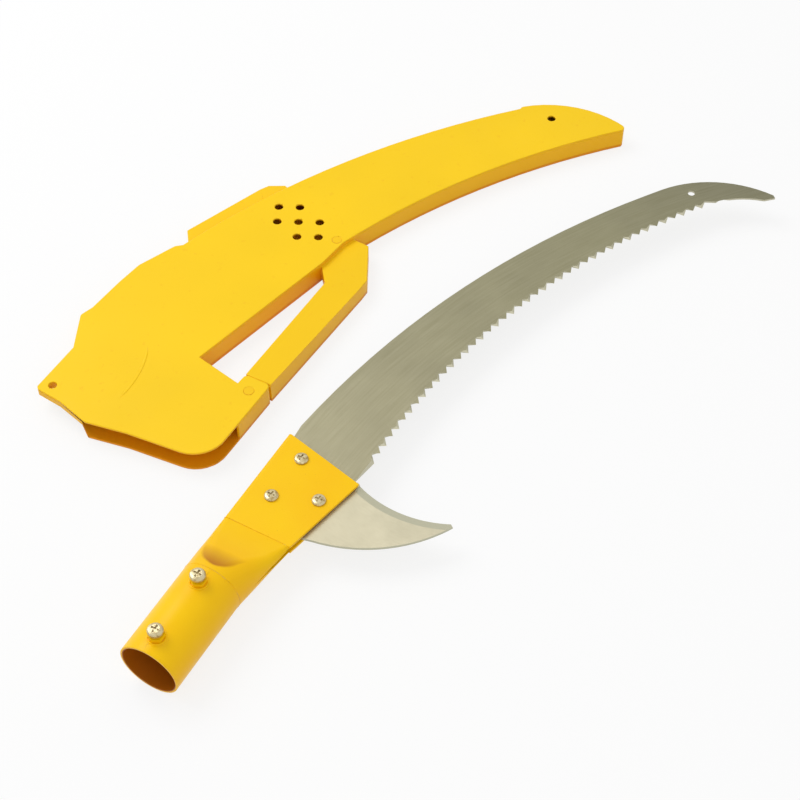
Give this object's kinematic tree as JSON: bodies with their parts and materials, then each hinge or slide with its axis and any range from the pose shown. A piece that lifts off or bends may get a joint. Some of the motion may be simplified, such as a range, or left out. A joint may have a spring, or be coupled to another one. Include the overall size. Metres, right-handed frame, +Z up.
{
  "type": "pole saw head with sheath",
  "caption": "Pole saw head with a curved pull-stroke saw blade, a hook knife and a pressed pole socket, lying beside its hard plastic blade sheath.",
  "frame": {"origin": "centre of the socket's mouth, on the axis of the round tube", "axes": "+X along the socket towards the blade, +Y towards the folded edge and the sheath, +Z up, square to the blade; both pieces lie on the plane z = -17.5 mm"},
  "size_m": [0.5125, 0.3336, 0.0425],
  "materials": {
    "socket_paint": "gloss powder coat",
    "blade_steel": "ground, olive grey",
    "hook_steel": "ground, pale",
    "zinc_screws": "zinc plated",
    "zinc_washers": "zinc plated, dull",
    "zinc_nuts": "zinc plated",
    "cover_plastic": "moulded, satin gloss",
    "tray_plastic": "moulded, satin gloss",
    "pin_plastic": "moulded, satin gloss"
  },
  "bodies": {
    "head": {"socket": "socket_paint", "saw_blade": "blade_steel", "hook_knife": "hook_steel", "bolt_front": "zinc_screws", "bolt_rear": "zinc_screws", "bolt_side": "zinc_screws", "lock_washer_front": "zinc_washers", "lock_washer_rear": "zinc_washers", "lock_washer_side": "zinc_washers", "nut_front": "zinc_nuts", "nut_rear": "zinc_nuts", "nut_side": "zinc_nuts", "pole_nut_front": "socket_paint", "pole_nut_rear": "socket_paint"},
    "sheath": {"sheath_cover": "cover_plastic", "sheath_tray": "tray_plastic", "shell_pin_lower": "pin_plastic", "shell_pin_upper": "pin_plastic"},
    "screw_front": {"pole_screw_front": "zinc_screws"},
    "screw_rear": {"pole_screw_rear": "zinc_screws"}
  },
  "joints": [
    {"name": "sheath_lift", "type": "slide", "parent": "head", "child": "sheath", "axis": [0, 0, 1], "range_m": [0, 0.15]},
    {"name": "screw_front_in", "type": "slide", "parent": "head", "child": "screw_front", "axis": [0, 0, -1], "range_m": [0, 0.0021]},
    {"name": "screw_rear_in", "type": "slide", "parent": "head", "child": "screw_rear", "axis": [0, 0, -1], "range_m": [0, 0.0021]}
  ]
}
